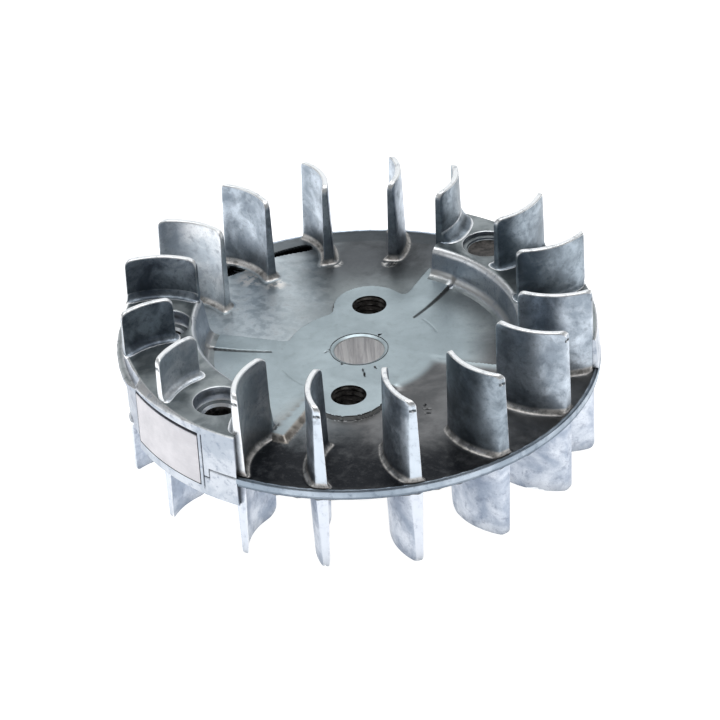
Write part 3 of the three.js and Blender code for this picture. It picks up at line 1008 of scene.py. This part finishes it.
def cast_material(name, pale, dark, stain, foot, darkening):
    """Die-cast aluminium: clouded, stained, darker towards the blades' feet, with painted shade in corners
    and end grooves, painted highlights on edges and tops, and a painted reflection on the outer ends. foot is
    the height in millimetres down to which the colour darkens, by a share from 0 to 1. A foot far below the
    wheel leaves the feet as they are."""
    material, tree, shader, coords = new_metal(name)
    cloud, blotch, fine = clouded(tree, coords, (150, 5, 0.6, 0.4), (560, 5, 0.68, 0.3), (2600, 4, 0.65))
    colour = toned(tree, cloud, 0.36, 0.68, dark, pale)
    colour = toned(tree, blotch, 0.50, 0.70, colour, stain, 0.5)
    colour = toned(tree, fine, 0.50, 0.75, colour, stain, 0.35)
    x, _, z = axes(tree, coords)
    # Darker towards the blades' feet, by the given share.
    ragged = plus(tree, z, times(tree, cloud, 0.007))
    low = level_ramp(tree, ragged, foot, 9.5, 2.5, 0, darkening)
    colour = mix_colour(tree, low, colour, (0.10, 0.11, 0.12))
    # Painted reflection: faces that look straight out from the axis, except towards the right, are coloured
    # near the pale tone.
    outward = outward_share(tree, coords, 0.72, 0.9)
    ends = times(tree, outward, ramp(tree, x, 0.024, 0.012), ramp(tree, blotch, 0.72, 0.5, 0.45, 1))
    colour = mix_colour(tree, ends, colour, tuple(0.96 * v for v in pale))
    if foot > 0:
        root = level_ramp(tree, z, foot, 1.5, 0.8)
        root_tone = toned(tree, blotch, 0.36, 0.60, (0.30, 0.295, 0.285), (0.68, 0.66, 0.64))
        colour = mix_colour(tree, root, colour, root_tone)
        merged = level_ramp(tree, z, foot, 0.22, 0.03)
        colour = mix_colour(tree, merged, colour, floor_colour(tree, coords))
    # Painted shade in corners and crevices.
    colour = corner_shade(tree, coords, colour, 0.006, 0.5, (0.05, 0.055, 0.06))
    # Painted shade: a dark band in the groove across each blade's outer end.
    pit = times(tree, level_ramp(tree, z, TIP_Z, -2.5, -2.2), level_ramp(tree, z, TIP_Z, -1.6, -1.9), outward)
    colour = mix_colour(tree, pit, colour, (0.06, 0.07, 0.08))
    # Painted highlight on the blades' tops and rounded top edges near the tip.
    near_tip = level_ramp(tree, z, foot, 14, 15)
    upright = ramp(tree, upward_share(tree), 0.2, 0.45)
    top_edge_highlight = times(tree, upright, near_tip, ramp(tree, blotch, 0.70, 0.5, 0.5, 1))
    colour = mix_colour(tree, top_edge_highlight, colour, (0.96, 0.98, 0.99))
    # Painted highlights on the outward edges, above the feet.
    above_foot = level_ramp(tree, z, foot, 1.2, 2.4)
    highlighted = edge_highlights(tree, coords, colour, (0.95, 0.97, 0.99))
    colour = mix_colour(tree, above_foot, colour, highlighted)
    roughness = ramp(tree, blotch, 0.3, 0.75, 0.33, 0.48)
    bumps = ((cloud, 0.00004), (blotch, 0.00003), (fine, 0.000018))
    finish_surface(tree, shader, colour, roughness, 1.0, *bumps)
    return material


def housing_material():
    """The magnet housing and pad: a turned outer wall and a cast top, with painted reflection making the wall
    bright and the top dull.
    """
    material, tree, shader, coords = new_metal("housing_aluminium")
    cloud, blotch, fine = clouded(tree, coords, (130, 5, 0.6, 0.4), (700, 5, 0.68, 0.3), (3000, 4, 0.65))
    upright = upward_share(tree)
    x, _, z = axes(tree, coords)
    # Painted reflection: upright faces take the bright wall tone and level faces the dull top tone.
    top = toned(tree, cloud, 0.38, 0.64, (0.17, 0.195, 0.205), (0.34, 0.375, 0.385))
    wall = toned(tree, cloud, 0.38, 0.62, (0.42, 0.47, 0.54), (0.60, 0.64, 0.70))
    wall = toned(tree, blotch, 0.52, 0.68, wall, (0.24, 0.29, 0.38), 0.55)
    rough_end = times(tree, ramp(tree, x, -0.0440, -0.0450), ramp(tree, cloud, 0.40, 0.62, 0.1, 0.7))
    wall = mix_colour(tree, rough_end, wall, (0.17, 0.205, 0.28))
    colour = toned(tree, upright, 0.75, 0.95, wall, top)
    colour = toned(tree, fine, 0.54, 0.75, colour, (0.22, 0.25, 0.29), 0.25)
    # Painted shade in corners and crevices.
    colour = corner_shade(tree, coords, colour, 0.004, 0.6, (0.05, 0.055, 0.06))
    # Painted highlight on the rounded edges, dimmer low down.
    rounded = times(tree, ramp(tree, upright, 0.25, 0.5), ramp(tree, upright, 0.985, 0.85))
    above_rim = level_ramp(tree, z, RIM_TOP, 0.6, 0.9)
    rounded = times(tree, rounded, ramp(tree, blotch, 0.68, 0.5, 0.35, 0.9), above_rim)
    low = level_ramp(tree, z, RIM_TOP, 4.5, 3.5)
    edge_highlight_tone = mix_colour(tree, low, (0.90, 0.92, 0.94), (0.52, 0.53, 0.53))
    colour = mix_colour(tree, rounded, colour, edge_highlight_tone)
    # More painted shade, close into tight corners.
    colour = corner_shade(tree, coords, colour, 0.0009, 0.85, (0.03, 0.034, 0.04))
    roughness = ramp(tree, blotch, 0.3, 0.75, 0.30, 0.45)
    bumps = ((cloud, 0.00004), (blotch, 0.00003), (fine, 0.000015))
    finish_surface(tree, shader, colour, roughness, 1.0, *bumps)
    return material


def disc_material():
    """The web: a smooth machined plateau with a painted shade line round it, and the cast floor and rim."""
    material, tree, shader, coords = new_metal("web_aluminium")
    x, y, z = axes(tree, coords)
    radius = wheel_radius(tree, x, y)
    cloud, blotch, fine = clouded(tree, coords, (85, 6, 0.62, 0.3), (480, 6, 0.66, 0.2), (2600, 4, 0.65))
    ragged = plus(tree, radius, wandering(tree, cloud))
    floor = floor_colour(tree, coords)
    rim = toned(tree, cloud, 0.4, 0.62, (0.30, 0.36, 0.43), (0.48, 0.55, 0.63))
    rim = toned(tree, blotch, 0.52, 0.68, rim, (0.14, 0.18, 0.24), 0.6)
    band = level_ramp(tree, z, RIM_TOP, -1.25, -1.35, 0, 0.6)
    rim = mix_colour(tree, band, rim, (0.12, 0.15, 0.19))
    floor = toned(tree, radius, 0.0490, 0.0494, floor, rim)
    face = toned(tree, cloud, 0.35, 0.7, (0.38, 0.45, 0.48), (0.49, 0.575, 0.61))
    face = toned(tree, blotch, 0.55, 0.75, face, (0.24, 0.27, 0.28), 0.25)
    steep = ramp(tree, upward_share(tree), 0.85, 0.6)
    flank = times(tree, level_ramp(tree, z, RIM_TOP, 0.08, 0.25), steep)
    high = math_node(tree, "MAXIMUM", level_ramp(tree, z, RIM_TOP, 0.3, 0.8), flank)
    face = mix_colour(tree, steep, face, (0.50, 0.50, 0.49))
    machined = times(tree, high, ramp(tree, ragged, 0.050, 0.026))
    colour = mix_colour(tree, machined, floor, face)
    colour = toned(tree, fine, 0.55, 0.75, colour, (0.2, 0.21, 0.22), 0.2)
    # Painted shade: a near-black line high on the plateau's steep walls, and in the step lines, cracks and
    # faint arc.
    under_edge = level_ramp(tree, z, RIM_TOP, 0.72, 0.82)
    over_edge = level_ramp(tree, z, RIM_TOP, 0.99, 0.95)
    groove_shade = add_node(tree, "Attribute", {"attribute_name": "groove_shade"}, {})
    outline = math_node(tree, "MAXIMUM", times(tree, under_edge, over_edge, steep), groove_shade.outputs["Fac"])
    colour = toned(tree, outline, 0.05, 0.7, colour, (0.03, 0.031, 0.033), 0.85)
    scuff = add_node(tree, "Attribute", {"attribute_name": "scuff"}, {})
    scuffed = toned(tree, blotch, 0.40, 0.62, (0.25, 0.228, 0.205), (0.46, 0.43, 0.395))
    colour = mix_colour(tree, scuff.outputs["Fac"], colour, scuffed)
    # Painted shade: near black in the slot and under the web.
    pit = times(tree, level_ramp(tree, z, RIM_TOP, -0.2, -0.7), ramp(tree, radius, 0.0493, 0.0487))
    colour = mix_colour(tree, pit, colour, (0.004, 0.004, 0.005))
    # Painted shade in corners and crevices.
    colour = corner_shade(tree, coords, colour, 0.006, 0.5, (0.04, 0.045, 0.05))
    flash = times(tree, ramp(tree, blotch, 0.43, 0.52), flash_spots(tree, coords))
    colour = mix_colour(tree, flash, colour, (0.95, 0.93, 0.90))
    roughness = ramp(tree, blotch, 0.3, 0.75, 0.34, 0.5)
    bumps = ((cloud, 0.00003), (blotch, 0.00002), (fine, 0.000012))
    finish_surface(tree, shader, colour, roughness, 1.0, *bumps)
    return material


# Where bright flash is left at the blades' inner feet: centre and reach, in millimetres.
FLASH_SPOTS = (
    (-17.2, 28.9, 3.0),
    (-22.5, 31.5, 3.8),
    (-23.4, 36.6, 2.2),
    (-4.3, 36.2, 2.2),
    (7.6, 35.0, 2.0),
)


def flash_spots(tree, coords):
    share = None
    for x, y, reach in FLASH_SPOTS:
        spot = (x * MM, y * MM, RIM_TOP * MM)
        away = add_node(tree, "VectorMath", {"operation": "DISTANCE"}, {0: coords, 1: spot})
        near = ramp(tree, away.outputs["Value"], reach * MM, reach * 0.3 * MM)
        share = near if share is None else math_node(tree, "MAXIMUM", share, near)
    return share


def bore_material():
    """The crankshaft bore: bright metal scored along its length."""
    material, tree, shader, coords = new_metal("scored_bore")
    stretched = add_node(tree, "Mapping", {}, {"Vector": coords, "Scale": (1, 1, 0.1)})
    scores = noise_node(tree, stretched.outputs[0], 620, 5, 0.7, 0.4)
    colour = toned(tree, scores, 0.38, 0.60, (0.66, 0.655, 0.67), (1.0, 1.0, 1.0))
    roughness = ramp(tree, scores, 0.3, 0.7, 0.3, 0.5)
    finish_surface(tree, shader, colour, roughness, 0.0, (scores, 0.00008))
    return material


def hole_shade_material():
    """The walls of the tapped holes and the deep holes: painted shade, as a dark metal."""
    material, tree, shader, coords = new_metal("hole_painted_shade")
    cloud = noise_node(tree, coords, 800, 4, 0.6)
    colour = toned(tree, cloud, 0.35, 0.7, (0.028, 0.026, 0.025), (0.12, 0.112, 0.105))
    roughness = ramp(tree, cloud, 0.3, 0.7, 0.3, 0.5)
    finish_surface(tree, shader, colour, roughness, 0.9, (cloud, 0.00003))
    return material


def steel_material():
    material, tree, shader, coords = new_metal("ground_steel")
    stretched = add_node(tree, "Mapping", {}, {"Vector": coords, "Scale": (1, 1, 6)})
    lines = noise_node(tree, stretched.outputs[0], 900, 3, 0.6)
    cloud = noise_node(tree, coords, 150, 4, 0.6)
    colour = toned(tree, cloud, 0.35, 0.7, (0.56, 0.555, 0.585), (0.66, 0.65, 0.68))
    roughness = ramp(tree, lines, 0.3, 0.7, 0.36, 0.5)
    finish_surface(tree, shader, colour, roughness, 1.0, (lines, 0.00001))
    return material


def magnet_material():
    material, tree, shader, coords = new_metal("sintered_magnet")
    cloud = noise_node(tree, coords, 400, 4, 0.6)
    colour = mix_colour(tree, cloud, (0.1, 0.1, 0.11), (0.2, 0.2, 0.21))
    finish_surface(tree, shader, colour, ramp(tree, cloud, 0.3, 0.7, 0.5, 0.7), 0.6, (cloud, 0.00003))
    return material


# ---- stage ----
def build_floor():
    mesh = bpy.data.meshes.new("floor")
    reach = 3.0
    corners = [(-reach, -reach, 0), (reach, -reach, 0), (reach, reach, 0), (-reach, reach, 0)]
    mesh.from_pydata(corners, [], [(0, 1, 2, 3)])
    floor = bpy.data.objects.new("floor", mesh)
    bpy.context.scene.collection.objects.link(floor)
    material, _, shader = new_material("pale_floor")
    shader.inputs["Base Color"].default_value = (0.55, 0.55, 0.55, 1)
    shader.inputs["Roughness"].default_value = 0.9
    shader.inputs["Specular IOR Level"].default_value = 0.0
    shader.inputs["Emission Color"].default_value = (1, 1, 1, 1)
    shader.inputs["Emission Strength"].default_value = 0.99
    mesh.materials.append(material)


def area_light(name, place, target, size, radiance, colour=(1, 1, 1)):
    data = bpy.data.lights.new(name, "AREA")
    data.shape = "RECTANGLE"
    data.size, data.size_y = size
    data.energy = radiance * math.pi * size[0] * size[1]
    data.color = colour
    lamp = bpy.data.objects.new(name, data)
    bpy.context.scene.collection.objects.link(lamp)
    lamp.location = place
    lamp.rotation_euler = (Vector(target) - Vector(place)).to_track_quat("-Z", "Y").to_euler()
    lamp.visible_camera = False
    return lamp


def build_world():
    world = bpy.data.worlds.new("studio")
    world.use_nodes = True
    bpy.context.scene.world = world
    background = world.node_tree.nodes["Background"]
    background.inputs["Color"].default_value = (1, 1, 1, 1)
    background.inputs["Strength"].default_value = 0.22


CAMERA_ELEVATION = 32.87
CAMERA_ROLL = -3.42
CAMERA_DISTANCE = 703.6
CAMERA_LENS = 169.6
# How far beside and below the wheel's centre the camera aims, as a share of its distance.
AIM_RIGHT = 0.00016213
AIM_DOWN = 0.00204581


def build_camera():
    data = bpy.data.cameras.new("camera")
    camera = bpy.data.objects.new("camera", data)
    bpy.context.scene.collection.objects.link(camera)
    data.lens = CAMERA_LENS
    data.sensor_width = 36
    elevation, roll = math.radians(CAMERA_ELEVATION), math.radians(CAMERA_ROLL)
    target = Vector((0, 0, RIM_TOP * MM))
    back = Vector((0, -math.cos(elevation), math.sin(elevation)))
    right = Vector((1, 0, 0))
    up = back.cross(right)
    right, up = (right * math.cos(roll) + up * math.sin(roll), up * math.cos(roll) - right * math.sin(roll))
    ahead = (-back + right * AIM_RIGHT - up * AIM_DOWN).normalized()
    right = (right - ahead * right.dot(ahead)).normalized()
    up = right.cross(ahead)
    turn = Matrix((right, up, -ahead)).transposed()
    camera.matrix_world = Matrix.Translation(target + back * CAMERA_DISTANCE * MM) @ turn.to_4x4()
    data.clip_start, data.clip_end = 0.01, 20
    bpy.context.scene.camera = camera


# The blades' tones, painted lit and shaded copies of one cast aluminium: pale, dark and stain colours, and
# how far each darkens towards the foot.
BLADE_TONES = {
    "blade_aluminium": ((0.65, 0.725, 0.81), (0.28, 0.33, 0.39), (0.18, 0.21, 0.245), 0.6),
    "blade_painted_dark": ((0.40, 0.465, 0.53), (0.09, 0.11, 0.14), (0.07, 0.085, 0.11), 0.3),
    "blade_painted_mid": ((0.42, 0.49, 0.56), (0.17, 0.205, 0.24), (0.12, 0.15, 0.18), 0.4),
    "blade_painted_light": ((0.92, 0.95, 0.98), (0.50, 0.56, 0.62), (0.30, 0.34, 0.39), 0.5),
}
# The upper blades whose tone isn't the first one's.
TONED_BLADES = {"blade_painted_dark": (8, 9), "blade_painted_mid": (1, 2, 3, 14), "blade_painted_light": (7, 10, 11)}


def main():
    places = {n: Place(n, f"upper_fin_{n:02d}") for n in range(1, 17)}
    made = {}
    for name, (pale, dark, stain, darkening) in BLADE_TONES.items():
        made[name] = cast_material(name, pale, dark, stain, RIM_TOP, darkening)
    tones = dict.fromkeys(places, made["blade_aluminium"])
    for name, numbers in TONED_BLADES.items():
        tones.update(dict.fromkeys(numbers, made[name]))
    # Painted light: the lower blades get a paler copy of the cast aluminium, for the bright floor's light on
    # them.
    pale, dark, stain = (0.72, 0.77, 0.85), (0.36, 0.42, 0.52), (0.20, 0.24, 0.33)
    lower = cast_material("lower_aluminium_painted_pale", pale, dark, stain, -20, 0)
    housing, hole_shade = housing_material(), hole_shade_material()
    housing_ends = places[MAGNET_BLADES[0]].degrees(48.5), places[MAGNET_BLADES[-1]].degrees(48.5)
    build_disc([disc_material(), hole_shade, bore_material()], housing_ends)
    build_counterweight([housing, hole_shade], places)
    build_housing([housing, hole_shade], places)
    build_shoe(steel_material())
    build_blades(tones, lower, places)
    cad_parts["magnet"].data.materials.clear()
    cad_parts["magnet"].data.materials.append(magnet_material())
    build_floor()
    build_world()
    centre = (0, 0, RIM_TOP * MM)
    area_light("overhead", (0, 0.1, 0.7), centre, (0.7, 0.35), 3.0)
    area_light("back_card", (0, 1.0, 0.62), centre, (1.6, 0.9), 0.75, (0.96, 0.98, 1))
    area_light("left_card", (-0.9, -0.1, 0.3), centre, (0.5, 0.6), 0.9, (0.95, 0.98, 1))
    area_light("right_card", (0.9, 0.1, 0.3), centre, (0.5, 0.6), 0.6, (0.95, 0.98, 1))
    build_camera()
    bpy.context.scene.view_settings.view_transform = "Standard"


main()
